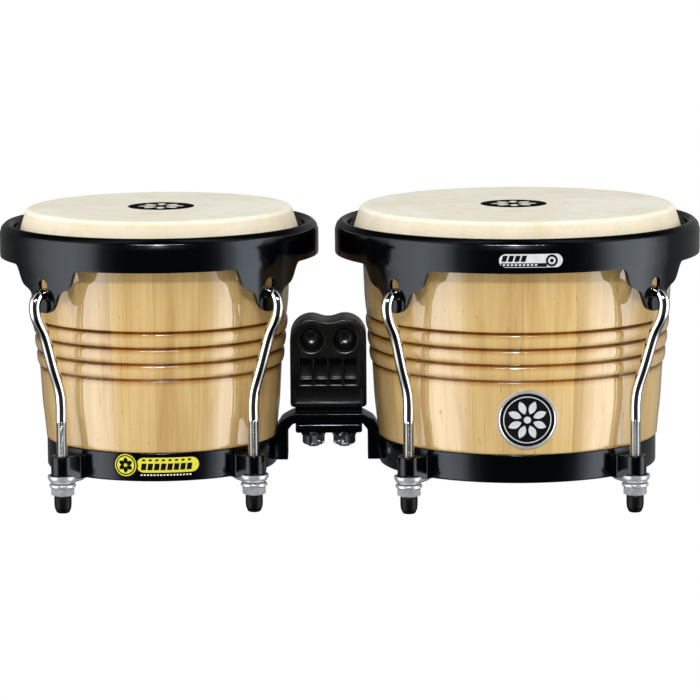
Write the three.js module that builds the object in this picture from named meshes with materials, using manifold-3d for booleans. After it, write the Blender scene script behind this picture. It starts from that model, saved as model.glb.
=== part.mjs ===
// A pair of bongo drums: two stave shells with tuned rawhide heads, joined by a moulded
// bridge block that bolts between the two bottom rings. Millimetres, +Z up, players' side -Y.
import * as THREE from 'three';
import { mergeVertices } from 'three/addons/utils/BufferGeometryUtils.js';
import Module from 'manifold-3d';

const wasm = await Module();
wasm.setup();

// ---- Driving dimensions ---------------------------------------------------------------
const GAP = 0.3;                    // air kept between neighbouring solids
const SIDES = 32;                   // facets round a drum

// Each drum: its axis, the shell's radius at the top, and the radii that follow it.
const DRUMS = [
  { name: 'macho', x: -124.2, shellR: 85.7, bandR: 103.8, ringR: 75.2, lugR: 87.0 },
  { name: 'hembra', x: 109.1, shellR: 101.6, bandR: 118.9, ringR: 90.6, lugR: 102.4 },
];
const LUGS = [
  { place: 'front_left', azimuth: 225 },
  { place: 'front_right', azimuth: 315 },
  { place: 'rear_left', azimuth: 135 },
  { place: 'rear_right', azimuth: 45 },
];

const HEAD_TOP = 191.0;
const SKIN = 2.0;                   // rawhide thickness
const SHELL_TOP = HEAD_TOP - SKIN - GAP;
const SHELL_WALL = 8.5;
const RING_TOP = 40.6;
const RING_BOTTOM = 22.3;
const RING_WALL = 3.2;
const RING_LIP_IN = 11.0;           // how far the ring's lower lip reaches inwards
const RING_LIP = 2.0;               // its thickness

const GROOVE_Z = [119.4, 109.1, 98.8, 88.5];
const GROOVE_DEPTH = 1.8;
const GROOVE_HALF = 1.3;
const BEAD_RISE = 0.8;

const HOOP_Z = 169.5;
const HOOP_OFFSET = 5.1;            // hoop centre outside the shell's top radius
const HOOP_R = 3.2;
const WRAP_R = 5.0;                 // outside of the skin round the hoop

const BAND_TOP = 182.3;
const BAND_BOTTOM = 160.4;
const BAND_FLARE = 0.9;             // the band is this much wider at its lower edge
const SHEET = 3.0;                  // rim sheet thickness
const EAR_TIP_Z = 131.3;
const EAR_INSET = 4.5;              // ears are pressed this far inside the band
const SLOT_HALF = 4.4;
const SLOT_BOTTOM = 140.0;
const SLOT_TOP = 156.0;

const ROD_R = 4.0;
const ROD_SIDES = 8;
const ROD_END_Z = 4.4;
const BOSS_R = 7.3;
const BOSS_TOP = 37.3;
const BORE_R = 4.6;

const PLATE_R = 9.6;
const PLATE_TAIL_X = 13.0;          // the plate narrows to a tail this far inwards of the rod
const PLATE_TAIL_R = 4.6;
const PLATE_BOTTOM = 19.3;
const PLATE_LIP_TOP = 24.8;
const WASHER = { bottom: 17.2, top: 19.0, outer: 7.9, bore: 4.4 };
const NUT = { bottom: 11.4, top: 16.9, flats: 13.0, bore: 4.35 };
const TIP = { top: 11.1, outer: 5.6, bore: 4.4, floor: 3.0 };

const BRIDGE_X = -14.6;
const BLOCK = { width: 49.8, depth: 35.0, bottom: 62.2, top: 119.1, lobeR: 13.9, saddle: 2.6 };
const RECESS = { x: 10.9, z: 105.2, r: 7.5, depth: 13.0 };
const POCKET = { half: 18.4, bottom: 77.6, top: 92.3, depth: 13.0, ribs: 3, rib: 1.6 };
const PAD = { width: 44.0, depth: 31.0, bottom: 56.9, top: 61.9 };
const ARM = { depth: 26.0, bottom: 50.0, top: 56.6, foot: 25.0 };
const ARM_REACH = { macho: -40.3, hembra: 11.2 };   // inner face of each arm's leg
const CLAMP = { width: 43.6, depth: 26.0, bottom: 44.2, top: 49.7 };
const BOLT = { x: 10.1, y: 7.5, r: 3.9, hole: 4.3, flats: 13.0 };
const BOLT_Z = { tip: 35.0, headBottom: 36.4, headTop: 43.9, top: 74.0 };

const BADGE = { z: 64.5, r: 20.5, azimuth: 271.5, thick: 1.4 };

// ---- Materials ------------------------------------------------------------------------
const paint = (color, roughness, metalness) =>
  new THREE.MeshStandardMaterial({ color, roughness, metalness });
const MATERIAL = {
  wood: paint(0xdcb878, 0.25, 0),
  skin: paint(0xeee6cf, 0.6, 0),
  steel: paint(0x14161c, 0.35, 0.3),
  hoop: paint(0x8c8f94, 0.4, 0.9),
  chrome: paint(0xd8dade, 0.1, 1),
  rubber: paint(0x161616, 0.8, 0),
  plastic: paint(0x1b1c1e, 0.5, 0),
  badge: paint(0xb9bcc0, 0.25, 0.9),
};

// ---- Solids, joins and cuts -----------------------------------------------------------
function toSolid(geometry) {
  const plain = geometry.clone();
  plain.deleteAttribute('normal');
  plain.deleteAttribute('uv');
  const merged = mergeVertices(plain, 1e-4);
  const mesh = new wasm.Mesh({
    numProp: 3,
    vertProperties: new Float32Array(merged.attributes.position.array),
    triVerts: new Uint32Array(merged.index.array),
  });
  return new wasm.Manifold(mesh);
}

function toGeometry(solid) {
  const mesh = solid.getMesh();
  const geometry = new THREE.BufferGeometry();
  geometry.setAttribute('position', new THREE.BufferAttribute(mesh.vertProperties, 3));
  geometry.setIndex(new THREE.BufferAttribute(mesh.triVerts, 1));
  return geometry;
}

// Outer walls of a profile run upwards and inner walls downwards; it stands on +Z.
function lathe(profile, sides = SIDES) {
  const points = profile.map(([r, z]) => new THREE.Vector2(r, z));
  return new THREE.LatheGeometry(points, sides).rotateX(Math.PI / 2);
}

const closed = (profile) => [...profile, profile[0]];

function upright(shape, bottom, top, arcs = 6) {
  const options = { depth: top - bottom, bevelEnabled: false, curveSegments: arcs };
  return new THREE.ExtrudeGeometry(shape, options).translate(0, 0, bottom);
}

// A shape drawn in X and Z, extruded along Y from front to back.
function frontal(shape, front, back, arcs = 6) {
  const options = { depth: back - front, bevelEnabled: false, curveSegments: arcs };
  return new THREE.ExtrudeGeometry(shape, options).rotateX(Math.PI / 2).translate(0, back, 0);
}

const direction = (azimuth) => {
  const angle = THREE.MathUtils.degToRad(azimuth);
  return new THREE.Vector3(Math.cos(angle), Math.sin(angle), 0);
};

// A shape drawn across and up a radial line, extruded outwards along that line.
function radial(shape, azimuth, inner, outer, arcs = 6) {
  const options = { depth: outer - inner, bevelEnabled: false, curveSegments: arcs };
  const out = direction(azimuth);
  const up = new THREE.Vector3(0, 0, 1);
  const across = new THREE.Vector3().crossVectors(up, out);
  const turn = new THREE.Matrix4().makeBasis(across, up, out);
  turn.setPosition(out.clone().multiplyScalar(inner));
  return new THREE.ExtrudeGeometry(shape, options).applyMatrix4(turn);
}

function disc(r, x = 0, y = 0) {
  return new THREE.Shape().absarc(x, y, r, 0, 2 * Math.PI);
}

function polygon(points) {
  return new THREE.Shape(points.map(([x, y]) => new THREE.Vector2(x, y)));
}

function box(x0, x1, y0, y1, z0, z1) {
  const geometry = new THREE.BoxGeometry(x1 - x0, y1 - y0, z1 - z0);
  return geometry.translate((x0 + x1) / 2, (y0 + y1) / 2, (z0 + z1) / 2);
}

function hexagon(flats, bore) {
  const corner = flats / Math.sqrt(3);
  const points = [];
  for (let side = 0; side < 6; side += 1) {
    const angle = (side * Math.PI) / 3;
    points.push([corner * Math.cos(angle), corner * Math.sin(angle)]);
  }
  const shape = polygon(points);
  if (bore) shape.holes.push(disc(bore));
  return shape;
}

// A path through its own points, so that a tube along it bends just where they are.
class PointPath extends THREE.Curve {
  constructor(points) {
    super();
    this.points = points;
  }

  getPoint(t) {
    return this.points[Math.round(t * (this.points.length - 1))].clone();
  }

  getPointAt(t) {
    return this.getPoint(t);
  }

  getTangentAt(t) {
    const last = this.points.length - 1;
    const here = Math.round(t * last);
    const before = this.points[Math.max(here - 1, 0)];
    const after = this.points[Math.min(here + 1, last)];
    return after.clone().sub(before).normalize();
  }
}

// ---- The shell: barrel taper and the three turned beads ----------------------------------
// How far the wall stands inside its top radius, by height.
const TAPER = [[41, 10.3], [55, 9.0], [63, 8.0], [88, 6.6], [119.4, 3.2], [130, 1.9], [150, 1.1], [170, 0.3]];

function shellRadius(drum, z) {
  if (z <= TAPER[0][0]) return drum.shellR - TAPER[0][1];
  for (let i = 1; i < TAPER.length; i += 1) {
    const [z0, in0] = TAPER[i - 1];
    const [z1, in1] = TAPER[i];
    if (z <= z1) return drum.shellR - in0 - ((in1 - in0) * (z - z0)) / (z1 - z0);
  }
  return drum.shellR - TAPER[TAPER.length - 1][1] * ((SHELL_TOP - z) / (SHELL_TOP - 170));
}

const wallPoint = (drum, z, out = 0) => [shellRadius(drum, z) + out, z];

function beadedWall(drum) {
  const wall = [];
  const rising = [...GROOVE_Z].reverse();
  rising.forEach((z, i) => {
    if (i === 0) wall.push(wallPoint(drum, z - GROOVE_HALF));
    wall.push(wallPoint(drum, z, -GROOVE_DEPTH));
    if (i === rising.length - 1) {
      wall.push(wallPoint(drum, z + GROOVE_HALF));
    } else {
      const pitch = rising[i + 1] - z;
      wall.push(wallPoint(drum, z + 0.5 * pitch, BEAD_RISE));
    }
  });
  return wall;
}

function shell(drum) {
  const rabbet = drum.ringR - RING_WALL - GAP;
  const foot = RING_BOTTOM + RING_LIP + GAP;
  const step = RING_TOP + GAP;
  const bottomIn = shellRadius(drum, step) - SHELL_WALL;
  const topIn = drum.shellR - SHELL_WALL;
  return lathe(closed([
    [rabbet, foot],
    [rabbet, step],
    wallPoint(drum, step),
    wallPoint(drum, 55),
    wallPoint(drum, 63),
    ...beadedWall(drum),
    wallPoint(drum, 150),
    [drum.shellR, SHELL_TOP - 3.5],
    [drum.shellR - 1.6, SHELL_TOP - 0.5],
    [drum.shellR - 3.2, SHELL_TOP],
    [topIn, SHELL_TOP - 2.5],
    [topIn - 1.0, 150],
    [bottomIn, 60],
    [bottomIn, foot],
  ]));
}

// ---- The head: a flat skin, its skirt, and the tuck round the flesh hoop -------------------
function onHoop(drum, r, degrees) {
  const angle = THREE.MathUtils.degToRad(degrees);
  const centre = drum.shellR + HOOP_OFFSET;
  return [centre + r * Math.cos(angle), HOOP_Z + r * Math.sin(angle)];
}

function head(drum) {
  const top = drum.shellR;
  const tuck = HOOP_R + GAP;
  const outside = [-180, -135, -90, -45, 0, 52].map((turn) => onHoop(drum, WRAP_R, turn));
  const inside = [35, 0, -60, -120, -180].map((turn) => onHoop(drum, tuck, turn));
  return lathe([
    [0, HEAD_TOP - SKIN],
    [top - 1.5, HEAD_TOP - SKIN],
    [top + 0.35, HEAD_TOP - SKIN - 1.4],
    [top + 3.3, 175.4],
    ...inside,
    ...outside,
    [top + 5.0, 176.6],
    [top + 1.9, 189.6],
    [top + 0.3, HEAD_TOP],
    [0, HEAD_TOP],
  ]);
}

function fleshHoop(drum) {
  const turns = [0, 60, 120, 180, 240, 300];
  return lathe(closed(turns.map((turn) => onHoop(drum, HOOP_R, turn))));
}

// ---- The rim: a pressed band with four slotted ears ----------------------------------------
function bandProfile(drum) {
  const outer = drum.bandR;
  const lipIn = drum.shellR + 7.3;
  const lipOut = lipIn + SHEET;
  const lipBottom = HOOP_Z + WRAP_R + GAP;
  return closed([
    [outer, BAND_BOTTOM],
    [outer - BAND_FLARE, 177.4],
    [outer - 2.4, 180.6],
    [outer - 5.2, BAND_TOP],
    [lipIn + 2.2, BAND_TOP - 1.0],
    [lipIn, BAND_TOP - 3.0],
    [lipIn, lipBottom],
    [lipOut, lipBottom],
    [lipOut, BAND_TOP - 4.2],
    [outer - SHEET - 1.6, BAND_TOP - 4.2],
    [outer - SHEET, BAND_TOP - 7.0],
    [outer - SHEET, BAND_BOTTOM],
  ]);
}

// The sheet that the ears are cut from: it steps inwards just below the band.
function earSheet(drum) {
  const outer = drum.bandR;
  return closed([
    [outer - EAR_INSET, EAR_TIP_Z - 1],
    [outer - EAR_INSET, BAND_BOTTOM - 9],
    [outer, BAND_BOTTOM + 1],
    [outer - SHEET, BAND_BOTTOM + 1],
    [outer - SHEET - EAR_INSET, BAND_BOTTOM - 9],
    [outer - SHEET - EAR_INSET, EAR_TIP_Z - 1],
  ]);
}

// Half of an ear's edge, from the band down to the round tip.
const EAR_EDGE = [[29, 160.6], [26.9, 157], [24.3, 150.6], [21.7, 148], [13.7, 144.8], [9.9, 136.6]];
const EAR_TIP_R = 8.6;

function earShape() {
  const shape = new THREE.Shape();
  EAR_EDGE.forEach(([half, z], i) => (i ? shape.lineTo(-half, z) : shape.moveTo(-half, z)));
  shape.absarc(0, EAR_TIP_Z + EAR_TIP_R, EAR_TIP_R, 1.12 * Math.PI, 1.88 * Math.PI, false);
  [...EAR_EDGE].reverse().forEach(([half, z]) => shape.lineTo(half, z));
  return shape;
}

function slotShape() {
  const shape = new THREE.Shape();
  shape.moveTo(-SLOT_HALF, SLOT_BOTTOM);
  shape.lineTo(SLOT_HALF, SLOT_BOTTOM);
  shape.absarc(0, SLOT_TOP - SLOT_HALF, SLOT_HALF, 0, Math.PI, false);
  return shape;
}

function rim(drum) {
  let solid = toSolid(lathe(bandProfile(drum)));
  const sheet = toSolid(lathe(earSheet(drum)));
  for (const { azimuth } of LUGS) {
    const ear = toSolid(radial(earShape(), azimuth, 60, 140, 5));
    const slot = toSolid(radial(slotShape(), azimuth, 60, 140, 4));
    solid = solid.add(sheet.intersect(ear).subtract(slot));
  }
  return toGeometry(solid);
}

// ---- The bottom ring with its four lug bosses ------------------------------------------------
function bossShape(drum) {
  const shape = new THREE.Shape();
  const root = drum.ringR - 1.5;
  shape.moveTo(root, -BOSS_R - 2);
  shape.lineTo(root + 3.5, -BOSS_R);
  shape.absarc(drum.lugR, 0, BOSS_R, -Math.PI / 2, Math.PI / 2, false);
  shape.lineTo(root + 3.5, BOSS_R);
  shape.lineTo(root, BOSS_R + 2);
  return shape;
}

function bottomRing(drum) {
  const wallIn = drum.ringR - RING_WALL;
  const lipIn = drum.ringR - RING_LIP_IN;
  let solid = toSolid(lathe(closed([
    [drum.ringR, RING_BOTTOM],
    [drum.ringR, RING_TOP],
    [wallIn, RING_TOP],
    [wallIn, RING_BOTTOM + RING_LIP],
    [lipIn, RING_BOTTOM + RING_LIP],
    [lipIn, RING_BOTTOM],
  ])));
  for (const { azimuth } of LUGS) {
    const turn = THREE.MathUtils.degToRad(azimuth);
    const boss = upright(bossShape(drum), RING_BOTTOM, BOSS_TOP, 5).rotateZ(turn);
    const bore = upright(disc(BORE_R, drum.lugR), RING_BOTTOM - 1, BOSS_TOP + 1).rotateZ(turn);
    solid = solid.add(toSolid(boss)).subtract(toSolid(bore));
  }
  return toGeometry(solid);
}

// ---- Tension rods and what hangs on them -------------------------------------------------------
// The rod's centre line by its distance outside the lug circle, from the hook down.
const ROD_PATH = [
  [5.5, 149.5], [6.6, 146.6], [10.0, 144.6], [16.5, 144.4], [20.4, 142.2], [22.4, 138.0],
  [21.9, 132.0], [19.3, 126.0], [14.3, 117.0], [7.6, 97.0], [1.6, 81.0], [0, 71.0], [0, ROD_END_Z],
];

function rod(drum, azimuth) {
  const out = direction(azimuth);
  const points = ROD_PATH.map(([offset, z]) => {
    return out.clone().multiplyScalar(drum.lugR + offset).setZ(z);
  });
  const options = {
    extrudePath: new PointPath(points),
    steps: points.length - 1,
    curveSegments: ROD_SIDES / 2,
    bevelEnabled: false,
  };
  return new THREE.ExtrudeGeometry(disc(ROD_R), options);
}

// A plate under each boss: round outside, narrowing to a tail towards the drum's axis.
function plateShape() {
  const spread = Math.acos((PLATE_R - PLATE_TAIL_R) / PLATE_TAIL_X);
  const meet = Math.PI - spread;
  const shape = new THREE.Shape();
  shape.absarc(0, 0, PLATE_R, -meet, meet, false);
  shape.absarc(-PLATE_TAIL_X, 0, PLATE_TAIL_R, meet, 2 * Math.PI - meet, false);
  return shape;
}

function lugPlate(drum, azimuth) {
  const base = plateShape();
  base.holes.push(disc(BORE_R));
  const baseTop = RING_BOTTOM - GAP;
  const lipIn = BOSS_R + GAP;
  const lip = new THREE.Shape().absarc(0, 0, PLATE_R, -0.45 * Math.PI, 0.45 * Math.PI, false);
  lip.absarc(0, 0, lipIn, 0.45 * Math.PI, -0.45 * Math.PI, true);
  const solid = toSolid(upright(base, PLATE_BOTTOM, baseTop, 4))
    .add(toSolid(upright(lip, baseTop - 0.5, PLATE_LIP_TOP, 4)));
  return atLug(toGeometry(solid), drum, azimuth);
}

function atLug(geometry, drum, azimuth) {
  const turn = THREE.MathUtils.degToRad(azimuth);
  const spot = direction(azimuth).multiplyScalar(drum.lugR);
  return geometry.rotateZ(turn).translate(spot.x, spot.y, 0);
}

function washer() {
  const { bottom, top, outer, bore } = WASHER;
  return lathe(closed([[outer, bottom], [outer, top], [bore, top], [bore, bottom]]), 12);
}

const nut = () => upright(hexagon(NUT.flats, NUT.bore), NUT.bottom, NUT.top, 6);

function rubberTip() {
  const { top, outer, bore, floor } = TIP;
  return lathe([
    [0, 0], [outer - 1.7, 0], [outer - 0.5, 1.6], [outer, 4.5], [outer, top],
    [bore, top], [bore, floor], [0, floor],
  ], 10);
}

// ---- The bridge between the drums ----------------------------------------------------------------
function blockShape() {
  const half = BLOCK.width / 2;
  const corner = 3;
  const lobeX = half - BLOCK.lobeR;
  const lobeZ = BLOCK.top - BLOCK.lobeR;
  const shape = new THREE.Shape();
  shape.moveTo(-half + corner, BLOCK.bottom);
  shape.lineTo(half - corner, BLOCK.bottom);
  shape.lineTo(half, BLOCK.bottom + corner);
  shape.absarc(lobeX, lobeZ, BLOCK.lobeR, 0, 0.6 * Math.PI, false);
  shape.quadraticCurveTo(0, BLOCK.top - BLOCK.saddle - 1, -lobeX - BLOCK.lobeR * Math.cos(0.6 * Math.PI),
    lobeZ + BLOCK.lobeR * Math.sin(0.6 * Math.PI));
  shape.absarc(-lobeX, lobeZ, BLOCK.lobeR, 0.4 * Math.PI, Math.PI, false);
  shape.lineTo(-half, BLOCK.bottom + corner);
  return shape;
}

function bridgeBlock() {
  const front = -BLOCK.depth / 2;
  let solid = toSolid(frontal(blockShape(), front, -front, 6));
  for (const side of [-1, 1]) {
    const near = side * (BLOCK.depth / 2 + 1);
    const span = (depth) => [near, side * (BLOCK.depth / 2 - depth)].sort((a, b) => a - b);
    const [y0, y1] = span(RECESS.depth);
    for (const x of [-RECESS.x, RECESS.x]) {
      solid = solid.subtract(toSolid(frontal(disc(RECESS.r, x, RECESS.z), y0, y1, 8)));
    }
    const [p0, p1] = span(POCKET.depth);
    const bay = (2 * POCKET.half - POCKET.ribs * POCKET.rib) / (POCKET.ribs + 1);
    for (let i = 0; i <= POCKET.ribs; i += 1) {
      const x = -POCKET.half + i * (bay + POCKET.rib);
      solid = solid.subtract(toSolid(box(x, x + bay, p0, p1, POCKET.bottom, POCKET.top)));
    }
  }
  solid = cutBoltHoles(solid, BLOCK.bottom - 1, BOLT_Z.top + 1, 0);
  return toGeometry(solid).translate(BRIDGE_X, 0, 0);
}

function cutBoltHoles(solid, bottom, top, centre) {
  for (const x of [-BOLT.x, BOLT.x]) {
    for (const y of [-BOLT.y, BOLT.y]) {
      const hole = toSolid(upright(disc(BOLT.hole, centre + x, y), bottom, top, 5));
      solid = solid.subtract(hole);
    }
  }
  return solid;
}

function slab({ width, depth, bottom, top }) {
  const solid = toSolid(box(-width / 2, width / 2, -depth / 2, depth / 2, bottom, top));
  return toGeometry(cutBoltHoles(solid, bottom - 1, top + 1, 0)).translate(BRIDGE_X, 0, 0);
}

// What the drum takes up outside, with a gap: the arm's leg is fitted to it.
function envelope(drum) {
  const skin = GAP + 0.1;
  return toSolid(lathe([
    [0, 0],
    [drum.ringR + skin, 0],
    [drum.ringR + skin, RING_TOP - skin],
    wallPoint(drum, RING_TOP - skin, skin),
    wallPoint(drum, 55, skin),
    wallPoint(drum, 63, skin),
    [0, 63],
  ]).translate(drum.x, 0, 0));
}

// The arm runs under the block, bends down, and its leg is welded to the bottom ring.
function arm(drum) {
  const side = Math.sign(drum.x);
  const leg = ARM_REACH[drum.name];
  const middle = BRIDGE_X + side * GAP;
  const shape = polygon([
    [middle, ARM.top], [leg - side * 2.8, ARM.top], [leg + side * 1.2, ARM.top - 1.2],
    [leg + side * 4.2, 52], [leg + side * 8.3, 43.5], [leg + side * 12, 40],
    [leg + side * 12, ARM.foot], [leg, ARM.foot], [leg, 44], [leg - side * 1.7, 48.5],
    [leg - side * 3.5, ARM.bottom], [middle, ARM.bottom],
  ]);
  let solid = toSolid(frontal(shape, -ARM.depth / 2, ARM.depth / 2));
  solid = solid.subtract(envelope(drum));
  return toGeometry(cutBoltHoles(solid, ARM.bottom - 1, ARM.top + 1, BRIDGE_X));
}

function bridgeBolt() {
  const shank = upright(disc(BOLT.r), BOLT_Z.tip, BOLT_Z.top, 5);
  const hex = upright(hexagon(BOLT.flats), BOLT_Z.headBottom, BOLT_Z.headTop);
  return toGeometry(toSolid(shank).add(toSolid(hex)));
}

// ---- The badge: a thin disc bent round the larger shell ---------------------------------------------
function badge(drum) {
  const low = BADGE.z - BADGE.r - 1;
  const high = BADGE.z + BADGE.r + 1;
  const heights = [low, 55, 63, high];
  const outer = heights.map((z) => wallPoint(drum, z, GAP + BADGE.thick));
  const inner = heights.map((z) => wallPoint(drum, z, GAP)).reverse();
  const sheet = toSolid(lathe(closed([...outer, ...inner])));
  const outline = disc(BADGE.r, 0, BADGE.z);
  const plug = toSolid(radial(outline, BADGE.azimuth, drum.ringR - 20, drum.shellR + 20, 12));
  return toGeometry(sheet.intersect(plug));
}

// ---- Assembly -----------------------------------------------------------------------------------------
const bongos = new THREE.Group();

function place(parent, name, geometry, material) {
  const mesh = new THREE.Mesh(geometry, material);
  mesh.name = name;
  parent.add(mesh);
}

function addDrum(drum) {
  const group = new THREE.Group();
  group.position.x = drum.x;
  bongos.add(group);
  const add = (piece, geometry, material) => {
    place(group, `${drum.name}_${piece}`, geometry, material);
  };
  add('shell', shell(drum), MATERIAL.wood);
  add('head', head(drum), MATERIAL.skin);
  add('flesh_hoop', fleshHoop(drum), MATERIAL.hoop);
  add('rim', rim(drum), MATERIAL.steel);
  add('bottom_ring', bottomRing(drum), MATERIAL.steel);
  for (const { place: lug, azimuth } of LUGS) {
    add(`rod_${lug}`, rod(drum, azimuth), MATERIAL.chrome);
    add(`lug_plate_${lug}`, lugPlate(drum, azimuth), MATERIAL.chrome);
    add(`washer_${lug}`, atLug(washer(), drum, azimuth), MATERIAL.chrome);
    add(`nut_${lug}`, atLug(nut(), drum, azimuth), MATERIAL.chrome);
    add(`rubber_tip_${lug}`, atLug(rubberTip(), drum, azimuth), MATERIAL.rubber);
  }
  return group;
}

function addBridge() {
  place(bongos, 'bridge_block', bridgeBlock(), MATERIAL.plastic);
  place(bongos, 'bridge_pad', slab(PAD), MATERIAL.rubber);
  place(bongos, 'bridge_clamp_plate', slab(CLAMP), MATERIAL.steel);
  DRUMS.forEach((drum) => place(bongos, `${drum.name}_arm`, arm(drum), MATERIAL.steel));
  for (const [row, y] of [['front', -BOLT.y], ['rear', BOLT.y]]) {
    for (const [column, x] of [['left', -BOLT.x], ['right', BOLT.x]]) {
      const bolt = bridgeBolt().translate(BRIDGE_X + x, y, 0);
      place(bongos, `bridge_bolt_${row}_${column}`, bolt, MATERIAL.chrome);
    }
  }
}

const groups = DRUMS.map(addDrum);
place(groups[1], 'hembra_badge', badge(DRUMS[1]), MATERIAL.badge);
addBridge();

export default bongos;
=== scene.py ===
"""Bongo drums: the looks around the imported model. Lengths are in millimetres until to_mesh()."""
import math
from collections import namedtuple

import bmesh
import bpy
from mathutils import Matrix, Vector


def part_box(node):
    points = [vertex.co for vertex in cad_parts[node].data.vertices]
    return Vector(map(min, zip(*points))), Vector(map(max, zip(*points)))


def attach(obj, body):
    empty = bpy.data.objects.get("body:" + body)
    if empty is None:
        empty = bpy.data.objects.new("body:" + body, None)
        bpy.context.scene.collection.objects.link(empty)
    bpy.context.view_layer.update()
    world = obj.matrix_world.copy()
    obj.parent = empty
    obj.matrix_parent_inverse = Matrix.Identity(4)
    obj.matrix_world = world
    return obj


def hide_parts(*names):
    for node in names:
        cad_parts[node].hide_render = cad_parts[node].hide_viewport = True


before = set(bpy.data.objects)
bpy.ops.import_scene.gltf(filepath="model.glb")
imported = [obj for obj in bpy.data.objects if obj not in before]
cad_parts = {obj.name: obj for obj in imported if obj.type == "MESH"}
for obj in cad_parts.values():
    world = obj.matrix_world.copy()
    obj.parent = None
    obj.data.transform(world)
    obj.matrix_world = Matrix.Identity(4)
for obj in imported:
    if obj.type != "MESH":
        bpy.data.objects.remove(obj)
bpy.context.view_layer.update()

MM = 0.001
ROOT = "frame"
ROUND = 160                                      # facets round a drum

LUGS = {"front_left": 225, "front_right": 315, "rear_left": 135, "rear_right": 45}
LUG_RING = {"macho": 75.2, "hembra": 90.6}       # outside of each bottom ring
RIM_TWIST = {"macho": 1.0, "hembra": 1.15}       # each rim's turn from its lugs, in degrees

HEAD_TOP = 191.0
SHELL_TOP = 188.7
RING_TOP = 40.6
RING_BOTTOM = 22.3
RING_WALL = 3.2
BORE_R = 4.6                                     # the holes that the rods run through


# ---- Sizes from the frame ----
def box_mm(node):
    low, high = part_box(node)
    return [v / MM for v in low], [v / MM for v in high]


def half_width(node):
    low, high = box_mm(node)
    return (high[0] - low[0]) / 2


def centre_x(node):
    low, high = box_mm(node)
    return (high[0] + low[0]) / 2


class Drum:
    """One drum's name, axis and radii, read from its CAD nodes."""

    def __init__(self, name):
        self.name = name
        self.x = centre_x(f"{name}_shell")
        self.shell = half_width(f"{name}_shell")
        self.band = half_width(f"{name}_rim")
        self.ring = LUG_RING[name]
        self.lug = (centre_x(f"{name}_rubber_tip_rear_right") - self.x) * math.sqrt(2)
        self.twist = math.radians(RIM_TWIST[name])
        self.lean = self.twist * self.band
        self.body = ROOT
        self.tensioner = f"{name}_tensioner"


# ---- Curves and numbers ----
def smoothstep(t):
    t = min(max(t, 0.0), 1.0)
    return t * t * (3 - 2 * t)


def interpolate(table, at):
    """Reads a table of (place, value), sorted by place, at any place."""
    if at <= table[0][0]:
        return table[0][1]
    for (a, va), (b, vb) in zip(table, table[1:]):
        if at <= b:
            return va + (vb - va) * (at - a) / (b - a)
    return table[-1][1]


def circle(r, z, sides):
    """A level ring of points. r is a number, or gives the radius at an angle."""
    ring = []
    for k in range(sides):
        angle = 2 * math.pi * k / sides
        reach = r(angle) if callable(r) else r
        ring.append((reach * math.cos(angle), reach * math.sin(angle), z))
    return ring


def arc(cx, cy, r, start, end, steps):
    points = []
    for k in range(steps + 1):
        angle = math.radians(start + (end - start) * k / steps)
        points.append((cx + r * math.cos(angle), cy + r * math.sin(angle)))
    return points


def round_outline(r, steps=64):
    return arc(0, 0, r, 0, 360 - 360 / steps, steps - 1)


def turned(outline, degrees):
    c, s = math.cos(math.radians(degrees)), math.sin(math.radians(degrees))
    return [(px * c - py * s, px * s + py * c) for px, py in outline]


def box_outline(half_x, half_y):
    return [(-half_x, -half_y), (half_x, -half_y), (half_x, half_y), (-half_x, half_y)]


def fillet(points, radius, steps=5, closed=True):
    """Rounds the corners of an outline. radius is one number, or one for each corner."""
    count = len(points)
    out = []
    for i, (px, py) in enumerate(points):
        r = radius[i] if isinstance(radius, (list, tuple)) else radius
        if r <= 0 or (not closed and i in (0, count - 1)):
            out.append((px, py))
            continue
        here = Vector((px, py))
        to_last = Vector(points[i - 1]) - here
        to_next = Vector(points[(i + 1) % count]) - here
        turn = to_last.angle(to_next)
        reach = min(r / math.tan(turn / 2), 0.49 * to_last.length, 0.49 * to_next.length)
        start = here + to_last.normalized() * reach
        end = here + to_next.normalized() * reach
        for k in range(steps + 1):
            t = k / steps
            point = start * (1 - t) ** 2 + here * (2 * t * (1 - t)) + end * t * t
            out.append((point.x, point.y))
    return out


def smooth_path(points, per_span=7):
    """A Catmull-Rom curve through the points, with evenly spread samples on each span."""
    points = [Vector(p) for p in points]
    ends = [2 * points[0] - points[1]] + points + [2 * points[-1] - points[-2]]
    out = []
    for i in range(1, len(ends) - 2):
        a, b, c, d = ends[i - 1:i + 3]
        for k in range(per_span):
            t = k / per_span
            square = (2 * a - 5 * b + 4 * c - d) * t ** 2
            cube = (3 * b - a - 3 * c + d) * t ** 3
            out.append(0.5 * (2 * b + (c - a) * t + square + cube))
    return out + [points[-1]]


# ---- Meshes ----
def to_mesh(name, verts, faces, x=0.0, sharp=35):
    """A shaded object from points in millimetres; x moves it to a drum's axis."""
    mesh = bpy.data.meshes.new(name)
    mesh.from_pydata([(vx * MM, vy * MM, vz * MM) for vx, vy, vz in verts], [], faces)
    obj = bpy.data.objects.new(name, mesh)
    bpy.context.scene.collection.objects.link(obj)
    obj.location.x = x * MM
    tidy_mesh(obj, sharp)
    return obj


def tidy_mesh(obj, sharp=35):
    """Merges doubles, turns the faces outwards and shades smooth below the sharp angle."""
    bm = bmesh.new()
    bm.from_mesh(obj.data)
    bmesh.ops.remove_doubles(bm, verts=bm.verts, dist=1e-6)
    bmesh.ops.dissolve_degenerate(bm, edges=bm.edges, dist=1e-7)
    bmesh.ops.recalc_face_normals(bm, faces=bm.faces)
    bm.to_mesh(obj.data)
    bm.free()
    obj.data.shade_smooth()
    obj.data.set_sharp_from_angle(angle=math.radians(sharp))


def apply_modifiers(obj, sharp=35):
    bpy.context.view_layer.update()
    graph = bpy.context.evaluated_depsgraph_get()
    mesh = bpy.data.meshes.new_from_object(obj.evaluated_get(graph))
    obj.modifiers.clear()
    obj.data = mesh
    tidy_mesh(obj, sharp)
    return obj


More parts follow.
